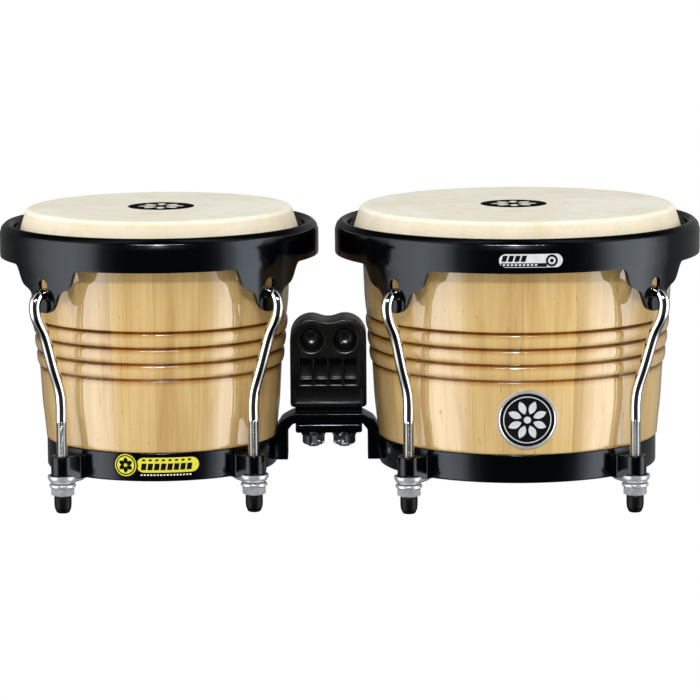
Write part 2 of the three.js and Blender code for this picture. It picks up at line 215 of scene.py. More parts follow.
def rows_to_faces(rows, columns, wrap_rows):
    """Quads between rows of points that each close on themselves."""
    faces = []
    for i in range(rows if wrap_rows else rows - 1):
        low, high = i * columns, (i + 1) % rows * columns
        for j in range(columns):
            k = (j + 1) % columns
            faces.append((low + j, low + k, high + k, high + j))
    return faces


def ring_mesh(name, rings, closed=False, x=0.0, sharp=35):
    """A tube from rings of points: joined end to end, or with both ends covered."""
    sides = len(rings[0])
    verts = [point for ring in rings for point in ring]
    faces = rows_to_faces(len(rings), sides, closed)
    if not closed:
        faces.append(tuple(range(sides)))
        faces.append(tuple(range(len(verts) - 1, len(verts) - sides - 1, -1)))
    return to_mesh(name, verts, faces, x, sharp)


def lathe(name, profile, x=0.0, sides=ROUND, closed=True, sharp=35):
    """Turns a profile of (radius, height) about the Z axis."""
    verts = [point for r, z in profile for point in circle(max(r, 1e-6), z, sides)]
    return to_mesh(name, verts, rows_to_faces(len(profile), sides, closed), x, sharp)


def plate_faces(count, start=0):
    """The faces of an outline extruded once: both ends and the sides."""
    low = list(range(start, start + count))
    high = [i + count for i in low]
    sides = [(low[i - 1], low[i], high[i], high[i - 1]) for i in range(count)]
    return [tuple(low), tuple(reversed(high))] + sides


def prism(name, outline, low, high, axis="Y"):
    """An outline extruded along an axis: drawn in X and Z for Y, and in X and Y for Z."""
    verts = []
    for level in (low, high):
        for px, py in outline:
            verts.append((px, level, py) if axis == "Y" else (px, py, level))
    return to_mesh(name, verts, plate_faces(len(outline)))


def slab(name, x_span, y_span, z_span):
    (x0, x1), (z0, z1) = x_span, z_span
    return prism(name, [(x0, z0), (x1, z0), (x1, z1), (x0, z1)], *y_span)


def cut(obj, *cutters):
    for cutter in cutters:
        modifier = obj.modifiers.new("cut", "BOOLEAN")
        modifier.operation = "DIFFERENCE"
        modifier.solver = "EXACT"
        modifier.object = cutter
    apply_modifiers(obj)
    for cutter in cutters:
        bpy.data.objects.remove(cutter)
    return obj


def bevel(obj, width, segments=3, angle=35, sharp=35):
    modifier = obj.modifiers.new("bevel", "BEVEL")
    modifier.width = width * MM
    modifier.segments = segments
    modifier.limit_method = "ANGLE"
    modifier.angle_limit = math.radians(angle)
    modifier.harden_normals = False
    return apply_modifiers(obj, sharp)


def mark(obj, name, value_at):
    """Writes a value at each point of a mesh, for a shader to read."""
    attribute = obj.data.attributes.new(name, "FLOAT", "POINT")
    for i, vertex in enumerate(obj.data.vertices):
        attribute.data[i].value = value_at(*(vertex.co / MM))


def turn_to_lug(obj, drum, azimuth):
    """Moves a piece drawn at the origin, with +X outwards, to its lug."""
    angle = math.radians(azimuth)
    reach = drum.lug * MM
    place = Matrix.Translation((math.cos(angle) * reach, math.sin(angle) * reach, 0))
    obj.data.transform(place @ Matrix.Rotation(angle, 4, "Z"))
    obj.location.x = drum.x * MM
    return obj


def dress(obj, material, body, slot, *nodes):
    """Gives a piece its material and its body, and hides the nodes it stands for. The slot is not
    used.
    """
    obj.data.materials.clear()
    obj.data.materials.append(material)
    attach(obj, body)
    if nodes:
        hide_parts(*nodes)
    return obj


# ---- Shader nodes ----
class Nodes:
    """Adds and links nodes in one tree. Any value may be a number or another node's output."""

    def __init__(self, tree):
        self.tree = tree
        self.tree.nodes.clear()

    def feed(self, value, socket):
        if isinstance(value, bpy.types.NodeSocket):
            self.tree.links.new(value, socket)
        else:
            socket.default_value = value

    def make(self, kind, values=(), **settings):
        """Adds a node and feeds its inputs, in order or by the keys of a dict."""
        node = self.tree.nodes.new(kind)
        for key, value in settings.items():
            setattr(node, key, value)
        for key, value in values.items() if isinstance(values, dict) else enumerate(values):
            self.feed(value, node.inputs[key])
        return node.outputs

    def math(self, operation, *values, clamp=False):
        return self.make("ShaderNodeMath", values, operation=operation, use_clamp=clamp)[0]

    def split(self, vector):
        return self.make("ShaderNodeSeparateXYZ", (vector,))

    def combine(self, *values):
        return self.make("ShaderNodeCombineXYZ", values)[0]

    def noise(self, vector, scale, detail=3.0, roughness=0.5, distortion=0.0):
        values = {"Vector": vector, "Scale": scale, "Detail": detail, "Roughness": roughness,
                  "Distortion": distortion}
        return self.make("ShaderNodeTexNoise", values)["Fac"]

    def stretch(self, vector, scale):
        return self.make("ShaderNodeMapping", {"Vector": vector, "Scale": scale})[0]

    def ramp(self, value, *stops):
        """Stops are (place, colour), where one number as the colour is a grey."""
        output = self.make("ShaderNodeValToRGB", (value,))[0]
        elements = output.node.color_ramp.elements
        while len(elements) < len(stops):
            elements.new(0.5)
        for element, (position, color) in zip(elements, stops):
            element.position = position
            element.color = (*color, 1) if isinstance(color, tuple) else (color, color, color, 1)
        return output

    def ease(self, *values):
        """A smooth step of (value, from, to, result at from, result at to)."""
        return self.make("ShaderNodeMapRange", values, interpolation_type="SMOOTHSTEP")[0]

    def mix(self, factor, first, second, blend="MIX"):
        values = {0: factor, 6: first, 7: second}
        for key in (6, 7):
            if isinstance(values[key], tuple):
                values[key] = (*values[key], 1)
        return self.make("ShaderNodeMix", values, data_type="RGBA", blend_type=blend)[2]

    def tint(self, color, by, amount=1.0):
        return self.mix(amount, color, by, "MULTIPLY")

    def attribute(self, name):
        return self.make("ShaderNodeAttribute", attribute_name=name)["Fac"]

    def background(self, strength):
        return self.make("ShaderNodeBackground", ((1, 1, 1, 1), strength))[0]

    def choose(self, flag, first, second):
        return self.make("ShaderNodeMixShader", (flag, first, second))[0]


class Surface(Nodes):
    """A material with one Principled shader."""

    def __init__(self, name):
        self.material = bpy.data.materials.new(name)
        self.material.use_nodes = True
        super().__init__(self.material.node_tree)
        output = self.make("ShaderNodeBsdfPrincipled")[0]
        self.inputs = output.node.inputs
        self.make("ShaderNodeOutputMaterial", (output,))
        self.place = self.make("ShaderNodeTexCoord")["Object"]

    def set(self, **values):
        for key, value in values.items():
            self.feed(value, self.inputs[key.replace("_", " ")])

    def bump(self, height, strength, distance=0.0001):
        values = {"Strength": strength, "Distance": distance, "Height": height}
        self.set(Normal=self.make("ShaderNodeBump", values)[0])


# ---- Materials ----
STAVES = 18
STAVE_WIDTH = 0.029              # metres
STAIN_AND_SHADE_DEPTH = 2.2                # how much a groove's stain and painted shade deepen the wood's own colour
WHITE = (1, 1, 1)


def stave_grid(n):
    """Where a point is across its stave, from 0 to 1, the stave's tone, and its place in the log."""
    x, y, z = n.split(n.place)
    angle = n.math("ARCTAN2", x, n.math("MULTIPLY", y, -1.0))
    turns = n.math("MULTIPLY", angle, STAVES / (2 * math.pi))
    stave = n.math("FLOOR", turns)
    across = n.math("FRACT", turns)
    drum_x = n.split(n.make("ShaderNodeObjectInfo")["Location"])[0]
    seed = {"W": n.math("ADD", stave, n.math("MULTIPLY", drum_x, 37.0))}
    tone = n.make("ShaderNodeTexWhiteNoise", seed, noise_dimensions="1D")["Value"]
    shift = n.math("MULTIPLY", stave, 3.7)
    sideways = n.math("ADD", n.math("MULTIPLY", across, STAVE_WIDTH), shift)
    along = n.math("ADD", z, n.math("MULTIPLY", tone, 9.0))
    return across, tone, n.combine(sideways, shift, along)


def wood_material():
    """Light wood staves: each with its own tone and grain, under a glossy lacquer."""
    n = Surface("lacquered_staves")
    across, tone, place = stave_grid(n)
    figure = n.noise(n.stretch(place, (60, 1, 7)), 1.0, 4, 0.55, 0.8)
    grain = n.noise(n.stretch(place, (420, 1, 10)), 1.0, 4, 0.6, 0.3)
    pores = n.noise(n.stretch(place, (650, 1, 95)), 1.0, 2, 0.5)
    mineral = n.noise(n.stretch(place, (330, 1, 16)), 1.0, 2, 0.5, 0.2)
    color = n.ramp(figure, (0.30, (0.475, 0.307, 0.106)), (0.52, (0.562, 0.390, 0.162)),
                   (0.75, (0.625, 0.462, 0.220)))
    color = n.tint(color, n.ramp(tone, (0.0, (0.90, 0.88, 0.84)), (0.5, (0.97, 0.96, 0.94)),
                                 (1.0, (1.06, 1.05, 1.03))))
    color = n.tint(color, n.ramp(grain, (0.40, (0.80, 0.74, 0.64)), (0.56, WHITE)), 0.42)
    color = n.tint(color, n.ramp(pores, (0.24, (0.45, 0.32, 0.20)), (0.30, WHITE)), 0.8)
    color = n.tint(color, n.ramp(mineral, (0.20, (0.42, 0.28, 0.13)), (0.31, WHITE)), 0.5)
    edge = n.math("ABSOLUTE", n.math("SUBTRACT", across, 0.5))
    joint = n.math("GREATER_THAN", edge, 0.4925)
    color = n.mix(n.math("MULTIPLY", joint, 0.30), color, (0.30, 0.17, 0.06))
    # Darkens the wood by the groove mark: a real stain together with painted shade.
    deepen = n.math("MULTIPLY_ADD", n.attribute("stain"), STAIN_AND_SHADE_DEPTH, 1.0)
    color = n.make("ShaderNodeGamma", (color, deepen))[0]
    n.set(Base_Color=color, Roughness=0.45, Specular_IOR_Level=0.2)
    n.set(Coat_Weight=1.0, Coat_Roughness=0.015, Coat_IOR=1.72)
    n.bump(grain, 0.15)
    return n.material


def rawhide_material():
    """Pale natural skin with soft clouds and veins, and a warmer skirt below the top."""
    n = Surface("rawhide")
    clouds = n.noise(n.place, 14, 4, 0.55, 0.4)
    mottle = n.noise(n.place, 70, 5, 0.65)
    fine = n.noise(n.place, 900, 3, 0.6)
    color = n.ramp(clouds, (0.32, (0.860, 0.800, 0.645)), (0.52, (0.910, 0.870, 0.738)),
                   (0.70, (0.945, 0.915, 0.805)))
    color = n.tint(color, n.ramp(mottle, (0.36, (0.90, 0.86, 0.78)), (0.52, WHITE)), 0.5)
    below_top = n.math("SUBTRACT", HEAD_TOP * MM, n.split(n.place)[2])
    drop = n.math("DIVIDE", below_top, 3.0 * MM, clamp=True)
    color = n.tint(color, n.ramp(drop, (0.15, WHITE), (1.0, (0.83, 0.775, 0.70))))
    n.set(Base_Color=color, Roughness=0.6, Specular_IOR_Level=0.15)
    n.set(Subsurface_Weight=0.12, Subsurface_Scale=0.004, Subsurface_Radius=(1.0, 0.6, 0.35))
    n.bump(n.math("ADD", fine, n.math("MULTIPLY", mottle, 1.5)), 0.25, 0.00015)
    return n.material


def chrome_material():
    """Polished chrome with faint wipe marks, and painted shade in the roots of the threads."""
    n = Surface("chrome")
    wipe = n.noise(n.stretch(n.place, (1, 1, 0.2)), 260, 3, 0.6)
    color = n.ramp(wipe, (0.3, (0.82, 0.83, 0.85)), (0.7, (0.90, 0.91, 0.92)))
    # Painted shade: the chrome turns near black in the roots of the thread.
    color = n.mix(n.math("MULTIPLY", n.attribute("root"), 0.96), color, (0.03, 0.03, 0.03))
    rough = n.ramp(wipe, (0.35, 0.035), (0.75, 0.085))
    n.set(Base_Color=color, Roughness=rough, Metallic=1.0)
    return n.material


def black_material(name, span, tones, rough, grit, haze_scale, relief, **shader):
    """A black surface: a slow haze in its tone and roughness, and a fine grit as relief."""
    n = Surface(name)
    haze = n.noise(n.place, haze_scale, 3, 0.6)
    if isinstance(rough, tuple):
        rough = n.ramp(haze, *zip(span, rough))
    n.set(Base_Color=n.ramp(haze, *zip(span, tones)), Roughness=rough, **shader)
    n.bump(n.noise(n.place, *grit), relief)
    return n.material


def flat_material(name, tones, rough, metallic=0.0, specular=0.4, scale=300):
    """A printed, enamelled or plated surface: two near tones and a faint texture."""
    n = Surface(name)
    tone = n.noise(n.place, scale, 3, 0.6)
    n.set(Base_Color=n.ramp(tone, *zip((0.3, 0.7), tones)), Roughness=rough)
    n.set(Metallic=metallic, Specular_IOR_Level=specular)
    n.bump(tone, 0.05, 0.00005)
    return n.material


WOOD = wood_material()
HIDE = rawhide_material()
CHROME = chrome_material()
BLACK = black_material("black_powder_coat", (0.3, 0.7),
                       ((0.0005, 0.0006, 0.0010), (0.0009, 0.0010, 0.0016)), (0.115, 0.145),
                       (1300, 2, 0.5), 30, 0.02, Specular_IOR_Level=0.36,
                       Specular_Tint=(0.78, 0.88, 1.0, 1))
RUBBER = black_material("black_rubber", (0.35, 0.7), (0.0008, 0.0018), 0.40,
                        (1600, 3, 0.6), 90, 0.2, Specular_IOR_Level=0.14)
MOULDED = black_material("moulded_black", (0.3, 0.75),
                         ((0.0018, 0.0019, 0.0020), (0.0034, 0.0035, 0.0037)), (0.20, 0.28),
                         (1500, 3, 0.65), 60, 0.15)
HOOP = flat_material("hoop_steel", ((0.36, 0.36, 0.37), (0.46, 0.46, 0.47)), 0.4, 1.0)
INK = flat_material("black_ink", (0.003, 0.006), 0.8, specular=0.03)
PALE = flat_material("pale_ink", ((0.74, 0.70, 0.60), (0.80, 0.77, 0.68)), 0.8, specular=0.1)
YELLOW = flat_material("yellow_vinyl", ((0.60, 0.57, 0.035), (0.66, 0.63, 0.05)), 0.30)
ZINC = flat_material("bright_zinc", ((0.62, 0.63, 0.65), (0.86, 0.87, 0.89)), 0.16, 0.66)
SILVER = flat_material("silver_foil", ((0.66, 0.67, 0.68), (0.76, 0.77, 0.78)), 0.30, 0.30)
BRIGHT = flat_material("bright_metal", ((0.80, 0.81, 0.82), (0.88, 0.88, 0.89)), 0.22, 0.7)
ENAMEL = flat_material("black_enamel", ((0.004, 0.004, 0.005), (0.008, 0.008, 0.009)), 0.12)


# ---- Shell ----
SHELL_WALL = 8.5
SHELL_FOOT = 24.6
SHELL_EDGE = 4.0                 # radius of the bearing edge's outside
SHELL_CHAMFER = 0.8
RING_GAP = 0.3                   # between the shell and the bottom ring
GROOVES = (119.4, 109.1, 98.8, 88.5)
GROOVE_CUT = 1.0
GROOVE_HALF = 1.3
BEAD_RISE = 0.8
# How far the wall is inside its top radius, by height.
TAPER = ((41, 10.3), (55, 9.0), (63, 8.0), (88, 6.6), (119.4, 3.2), (130, 1.9),
         (150, 1.1), (170, 0.3), (188.7, 0.0))


def shell_radius(drum, z):
    return drum.shell - interpolate(TAPER, z)


def smooth_taper(drum, z, reach=5.0):
    """The taper with its corners eased, so that the lacquer's reflections run on."""
    around = [shell_radius(drum, z + reach * k / 3) for k in range(-3, 4)]
    weights = (1, 2, 3, 4, 3, 2, 1)
    return sum(w * r for w, r in zip(weights, around)) / sum(weights)


def groove_distance(z):
    return min(abs(z - g) for g in GROOVES)


def groove_stain_and_shade(_x, _y, z):
    """How dark the wood is at a height: a stain with painted shade in a groove, and painted shade
    fading into the bead below it.
    """
    near = groove_distance(z)
    below = min((g - z for g in GROOVES if g >= z), default=99)
    # The groove line is partly a real stain and partly painted shade.
    stain = 0.80 * (1 - smoothstep(near / 1.2)) + 0.06 * (1 - smoothstep(near / 3.4))
    # Painted shade on the bead just below each groove.
    return min(stain + 0.34 * (1 - smoothstep(below / 4.2)), 1.0)


def wall_heights(low, high):
    """Heights up the wall, close together at the grooves."""
    heights = []
    z = low
    while z < high:
        heights.append(z)
        if groove_distance(z) < 2.6:
            z += 0.3
        else:
            z += 0.8 if GROOVES[-1] < z < GROOVES[0] else 1.5
    return heights + [high]


def turned_wall(drum, low, high):
    """The outside of the shell as (r, z), with its grooves and beads."""
    pitch = GROOVES[0] - GROOVES[1]
    wall = []
    for z in wall_heights(low, high):
        groove = 1 - smoothstep(groove_distance(z) / GROOVE_HALF)
        rise = 0.0
        if GROOVES[-1] < z < GROOVES[0]:
            phase = (GROOVES[0] - z) / pitch % 1
            rise = BEAD_RISE * (2.2 * math.sqrt(max(1 - (2 * phase - 1) ** 2, 0)) - 0.7)
        wall.append((smooth_taper(drum, z) + rise - GROOVE_CUT * groove, z))
    return wall


def build_shell(drum):
    rabbet = drum.ring - RING_WALL - RING_GAP
    step = RING_TOP + RING_GAP
    top = drum.shell
    inner = top - SHELL_WALL
    shoulder = SHELL_TOP - SHELL_EDGE
    wall = turned_wall(drum, step + SHELL_CHAMFER, shoulder)
    edge = fillet([(top, shoulder), (top, SHELL_TOP), (inner, SHELL_TOP), (inner, shoulder - 1)],
                  [0, SHELL_EDGE, 2.5, 0], 6, closed=False)
    bottom_in = shell_radius(drum, step) - SHELL_WALL
    inside = [(inner - 1, 150), (bottom_in, 60), (bottom_in, SHELL_FOOT)]
    foot = [(rabbet, SHELL_FOOT), (rabbet, step), (wall[0][0] - SHELL_CHAMFER, step)]
    obj = lathe(f"{drum.name}_stave_shell", foot + wall + edge[1:] + inside, drum.x, 192, sharp=50)
    # Stain and painted shade at the grooves, for the wood shader to read.
    mark(obj, "stain", groove_stain_and_shade)
    return dress(obj, WOOD, drum.body, "lacquered_wood", f"{drum.name}_shell")


# ---- Head ----
SKIN = 2.0
HEAD_RINGS = 12
HOOP_Z = 169.5
HOOP_OFFSET = 5.1
TUCK_IN = 3.55                   # inside and outside radii of the skin's tuck round the hoop
TUCK_OUT = 5.0
PRINT_R = 21.6
PRINT_LEAVES = 8
PRINT_LEAF = (4.6, 15.0, 2.7)    # inner and outer radius, and half width
PRINT_SHIFT = {"macho": 1.4, "hembra": -2.2}


def build_head(drum):
    """The skin: flat on top, a rounded edge, a skirt and a tuck round the flesh hoop."""
    top = drum.shell
    flat = [top * k / HEAD_RINGS for k in range(1, HEAD_RINGS)]
    shoulder = top * 11.2 / HEAD_RINGS
    under = HEAD_TOP - SKIN
    tuck = arc(top + HOOP_OFFSET, HOOP_Z, TUCK_IN, 40, -180, 14)
    tuck += arc(top + HOOP_OFFSET, HOOP_Z, TUCK_OUT, -180, 48, 18)
    lower = [(0, under)] + [(r, under) for r in flat]
    lower += fillet([(shoulder, under), (top - 0.3, under), (top + 3.3, 175.6)], [0, 3.4, 0], 6,
                    closed=False)
    upper = fillet([(top + 5.0, 176.6), (top + 0.5, HEAD_TOP), (shoulder, HEAD_TOP)], [0, 4.8, 0], 10,
                   closed=False)
    upper += [(r, HEAD_TOP) for r in reversed(flat)] + [(0, HEAD_TOP)]
    obj = lathe(f"{drum.name}_skin", lower + tuck + upper, drum.x, closed=False)
    return dress(obj, HIDE, drum.body, "rawhide", f"{drum.name}_head")


def leaf_outline(inner, outer, half, steps=7):
    """A leaf between two radii along +X, as wide as two times half in its middle."""
    side = []
    for k in range(steps + 1):
        t = k / steps
        side.append((inner + (outer - inner) * t, half * math.sin(math.pi * t) ** 0.8))
    return side + [(px, -py) for px, py in reversed(side[1:-1])]


def build_head_print(drum):
    """A generic round print at the head's centre: a black disc with a pale rosette."""
    x = drum.x + PRINT_SHIFT[drum.name]
    rings = [circle(PRINT_R, HEAD_TOP + rise, 64) for rise in (0.02, 0.08)]
    disc = ring_mesh(f"{drum.name}_print_disc", rings, x=x)
    dress(disc, INK, drum.body, "rawhide")
    verts = []
    faces = []
    for k in range(PRINT_LEAVES):
        leaf = turned(leaf_outline(*PRINT_LEAF), 360 / PRINT_LEAVES * k)
        faces += plate_faces(len(leaf), len(verts))
        verts += [(px, py, HEAD_TOP + rise) for rise in (0.08, 0.13) for px, py in leaf]
    petals = to_mesh(f"{drum.name}_print_rosette", verts, faces, x)
    dress(petals, PALE, drum.body, "rawhide")


# ---- Rim ----
BAND_TOP = 182.3
BAND_BOTTOM = 160.4
SHEET = 3.0
EAR_INSET = 2.3
EAR_REACH = 30.5
EAR_STEPS = 76                   # columns across an ear, and between two ears
GAP_STEPS = 22
UPPER_ROWS, SLOT_ROWS, LOWER_ROWS = 10, 8, 9
SLOT_HALF = 4.4
SLOT_BOTTOM = 140.0
SLOT_TOP = 153.4
SLOT_CORNER = 1.2
# Half of an ear's lower edge: height by distance from the ear's middle line.
EAR_EDGE = ((0, 131.3), (3, 131.6), (5.5, 132.6), (7.6, 134.2), (9.3, 136.6), (10.6, 139.4),
            (11.9, 142.2), (13.4, 144.3), (15.4, 145.7), (18.2, 146.8), (20.6, 147.9),
            (22.3, 149.2), (23.6, 151.2), (24.8, 154.0), (25.9, 157.0), (26.9, 159.0),
            (28.2, 160.1), (30.5, BAND_BOTTOM))


def band_profile(drum):
    """The rim's outer skin from the lip at the head, over the top and down the band."""
    outer = drum.band
    lip = drum.shell + 7.3
    corners = [(lip + 1.5, 175.2), (lip + 1.5, BAND_TOP - 2.2), (outer - 4.4, BAND_TOP + 0.1),
               (outer - 0.7, BAND_TOP - 3.6), (outer, BAND_BOTTOM)]
    eased = fillet(corners, [0, 2.2, 3.2, 3.6, 0], 6, closed=False)
    return [point for point in eased[:-1] if point[1] > BAND_BOTTOM + 1]


def sheet_radius(drum, z):
    """The outside of the rim: it leans in a little down the ears."""
    down = min(max((161.5 - z) / 30, 0), 1)
    return drum.band - EAR_INSET * (1 - (1 - down) ** 2)


def rim_columns(drum):
    """Angles round the rim, close together on the ears, with each one's place on its ear."""
    columns = []
    half = math.asin(EAR_REACH / drum.band)
    gap = math.pi / 2 - 2 * half
    places = {EAR_REACH * (2 * k / EAR_STEPS - 1) for k in range(EAR_STEPS + 1)}
    places |= {-SLOT_HALF, SLOT_HALF}
    for azimuth in sorted(LUGS.values()):
        middle = math.radians(azimuth) + drum.twist
        columns += [(middle + math.asin(across / drum.band), across) for across in sorted(places)]
        for k in range(1, GAP_STEPS):
            columns.append((middle + half + gap * k / GAP_STEPS, EAR_REACH + 1))
    return columns


def slot_limits(across):
    """The slot's lowest and highest points at a place across the ear."""
    reach = min(abs(across), SLOT_HALF)
    arch = math.sqrt(max(SLOT_HALF ** 2 - reach ** 2, 0))
    drop = max(reach - (SLOT_HALF - SLOT_CORNER), 0)
    low = SLOT_BOTTOM + SLOT_CORNER - math.sqrt(max(SLOT_CORNER ** 2 - drop ** 2, 0))
    return low, SLOT_TOP - SLOT_HALF + arch


def column_heights(across, start):
    """Heights down one column, with rows on the slot's upper and lower edges."""
    away = abs(across)
    low = interpolate(EAR_EDGE, away)
    slot_low, slot_high = slot_limits(across)
    slot_high = low + max(slot_high - low, 0) * smoothstep((EAR_REACH - away) / 12)
    slot_high = min(slot_high, BAND_BOTTOM + 1)
    slot_low = max(slot_low, low + 0.2) if away < 9.5 else low
    slot_low = low + (slot_low - low) * smoothstep((11 - away) / 5)
    heights = []
    for upper, lower, rows in ((start, slot_high, UPPER_ROWS), (slot_high, slot_low, SLOT_ROWS),
                               (slot_low, low, LOWER_ROWS)):
        heights += [upper + (lower - upper) * k / rows for k in range(1, rows + 1)]
    return heights


def rim_faces(columns, row_count, slot_rows):
    """Joins the rim's rows, and leaves the slots open."""
    count = len(columns)
    faces = []
    for i in range(row_count - 1):
        low, high = i * count, (i + 1) * count
        for j in range(count):
            k = (j + 1) % count
            middle = (columns[j][1] + columns[k][1]) / 2
            if i not in slot_rows or abs(middle) >= SLOT_HALF:
                faces.append((low + j, low + k, high + k, high + j))
    return faces


def face_upwards(obj):
    """Turns an open sheet over if its highest face looks down."""
    bm = bmesh.new()
    bm.from_mesh(obj.data)
    face = max(bm.faces, key=lambda f: f.calc_center_median().z)
    if face.normal.z < 0:
        bmesh.ops.reverse_faces(bm, faces=bm.faces)
    bm.to_mesh(obj.data)
    bm.free()


def build_rim(drum):
    top = band_profile(drum)
    columns = rim_columns(drum)
    lines = []
    for angle, across in columns:
        c, s = math.cos(angle), math.sin(angle)
        heights = column_heights(across, top[-1][1])
        profile = top + [(sheet_radius(drum, z), z) for z in heights]
        lines.append([(r * c, r * s, z) for r, z in profile])
    rows = list(zip(*lines))
    first = len(top) + UPPER_ROWS - 1
    faces = rim_faces(columns, len(rows), range(first, first + SLOT_ROWS))
    verts = [point for row in rows for point in row]
    obj = to_mesh(f"{drum.name}_pressed_rim", verts, faces, drum.x, 60)
    face_upwards(obj)
    solid = obj.modifiers.new("sheet", "SOLIDIFY")
    solid.thickness = SHEET * MM
    solid.offset = -1
    solid.use_even_offset = True
    apply_modifiers(obj, 50)
    bevel(obj, 0.55, 3, 50, 50)
    return dress(obj, BLACK, drum.tensioner, "black_steel", f"{drum.name}_rim")


# ---- Bottom ring and lug bosses ----
BOSS_R = 7.3
BOSS_TOP = 37.3
BOSS_FLARE = 2.4                 # how much wider a boss is where it meets the ring
BOSS_NECK = 3.2


def build_boss(drum, place, azimuth):
    root = drum.ring - drum.lug - 0.6
    outline = [(root, -BOSS_R - BOSS_FLARE), (root + BOSS_NECK, -BOSS_R)]
    outline += arc(0, 0, BOSS_R, -90, 90, 24)
    outline += [(root + BOSS_NECK, BOSS_R), (root, BOSS_R + BOSS_FLARE)]
    boss = prism(f"{drum.name}_boss_{place}", outline, RING_BOTTOM + 0.05, BOSS_TOP, "Z")
    cut(boss, prism("hole", round_outline(BORE_R, 48), 0, 60, "Z"))
    bevel(boss, 0.6, 3)
    turn_to_lug(boss, drum, azimuth)
    dress(boss, BLACK, drum.body, "black_steel")


def build_ring(drum):
    wall = drum.ring - RING_WALL
    lip = drum.ring - 11
    corners = [(drum.ring, RING_BOTTOM), (drum.ring, RING_TOP), (wall, RING_TOP),
               (wall, RING_BOTTOM + 2), (lip, RING_BOTTOM + 2), (lip, RING_BOTTOM)]
    profile = fillet(corners, [1.6, 0.7, 0.5, 0.8, 0.8, 0.6], 4)
    ring = lathe(f"{drum.name}_ring", profile, drum.x)
    dress(ring, BLACK, drum.body, "black_steel", f"{drum.name}_bottom_ring")
    for place, azimuth in LUGS.items():
        build_boss(drum, place, azimuth)


# ---- Rods ----
ROD_R = 3.65
ROD_SIDES = 28
ROD_END = 4.4
THREAD_TOP = 61.0
THREAD_PITCH = 1.25
THREAD_DEPTH = 0.72
THREAD_SAMPLES = 6               # rings for each turn of the thread
ROD_PATH = ((6.6, 144.4), (10.0, 143.8), (16.3, 143.7), (20.2, 141.6), (22.2, 137.4),
            (21.8, 131.6), (19.3, 125.6), (14.3, 116.7), (7.6, 97.0), (1.6, 81.0), (0, 71.0),
            (0, THREAD_TOP))
HOOK_REACH = {"macho": 1.0, "hembra": 0.97}
HOOK_CAP = ((0.45, 1.15), (0.82, 0.7))


def bent_rings(drum, path):
    """Rings round the bent part, from the hook to the top of the thread."""
    section = circle(ROD_R, 0, ROD_SIDES)
    rings = []
    for i, point in enumerate(path):
        along = (path[min(i + 1, len(path) - 1)] - path[max(i - 1, 0)]).normalized()
        lean = drum.lean * smoothstep((point.y - 62) / 80)
        rings.append([(point.x - along.y * px, lean + py, point.y + along.x * px)
                      for px, py, _ in section])
    return rings


def hook_cap(drum, path, ring):
    """Two smaller rings past the hook's first one, which round off its end."""
    middle = Vector((path[0].x, drum.lean, path[0].y))
    back = (path[0] - path[1]).normalized()
    caps = []
    for shrink, rise in HOOK_CAP:
        push = Vector((back.x, 0, back.y)) * rise
        caps.append([tuple(middle + (Vector(p) - middle) * shrink + push) for p in ring])
    return caps


def thread_wave(turns):
    """How deep a 60 degree thread is cut, 0 at its crest and 1 at its root."""
    return min(max(2.6 * abs(turns % 1.0 - 0.5) - 0.15, 0.0), 1.0)


def thread_ring(i):
    """One ring of the thread, which fades in below the plain rod."""
    z = THREAD_TOP - i * THREAD_PITCH / THREAD_SAMPLES
    depth = THREAD_DEPTH * smoothstep(i / (2.5 * THREAD_SAMPLES))

    def radius(angle):
        return ROD_R + 0.02 - depth * thread_wave(z / THREAD_PITCH + angle / (2 * math.pi))

    return circle(radius, z, ROD_SIDES)


def thread_rings():
    """Rings down the thread and a chamfered end."""
    count = int((THREAD_TOP - ROD_END - 1.0) / THREAD_PITCH * THREAD_SAMPLES)
    end = circle(ROD_R - THREAD_DEPTH - 0.6, ROD_END, ROD_SIDES)
    return [thread_ring(i) for i in range(1, count + 1)] + [end]


def thread_root_shade(x, y, z):
    """How near a point is to the root of the thread, from 0 to 1: how much shade is painted there."""
    if not ROD_END + 0.5 < z < THREAD_TOP:
        return 0.0
    return min(max((ROD_R - math.hypot(x, y)) / THREAD_DEPTH, 0.0), 1.0)


def build_rod(drum, place, azimuth):
    path = smooth_path([(x * HOOK_REACH[drum.name], z) for x, z in ROD_PATH])
    bent = bent_rings(drum, path)
    rings = hook_cap(drum, path, bent[0]) + bent + thread_rings()
    obj = ring_mesh(f"{drum.name}_hook_rod_{place}", rings, sharp=65)
    # Painted shade at the thread's root, for the chrome shader to read.
    mark(obj, "root", thread_root_shade)
    turn_to_lug(obj, drum, azimuth)
    return dress(obj, CHROME, drum.tensioner, "chrome", f"{drum.name}_rod_{place}")


# ---- Lug plates, washers, nuts and feet ----
PLATE_R = 9.6
TAIL_R = 4.6
TAIL_X = 13.0
PLATE_BOTTOM = 19.3
# Levels of the dish: an offset from its outline, and a height, a drop or a share of the wall.
DISH_FLOOR = ((-4.0, 1.5), (-3.1, 1.7), (-2.3, 2.6))
DISH_LIP = ((-1.35, 0.25), (-0.9, 0.0), (-0.35, 0.1), (0.0, 0.6))
DISH_BELLY = ((-0.35, 0.55), (-1.3, 0.25), (-2.8, 0.06), (-4.0, 0.0))
HEX_FLATS = 13.0
HEX_CHAMFER = 0.55
HEX_SIDES = 48
NUT_SPAN = (11.4, 16.9)
NUT_BORE = 4.35
WASHER = ((8.6, 17.1), (8.6, 19.0), (4.4, 19.0), (4.4, 17.1))
TIP = ((0, 0), (3.9, 0), (5.3, 3.2), (5.6, 6.0), (5.6, 11.1), (4.4, 11.1), (4.4, 3.0), (0, 3.0))


def teardrop(grow, steps=20):
    """The plate's outline, grown or shrunk by an offset."""
    big = PLATE_R + grow
    small = TAIL_R + grow
    meet = 180 - math.degrees(math.acos((big - small) / TAIL_X))
    tail = arc(-TAIL_X, 0, small, meet, 360 - meet, steps)
    return arc(0, 0, big, -meet, meet, 2 * steps) + tail


def dish_top(x):
    return 21.7 + 3.1 * smoothstep((x + 6.5) / 5.5)


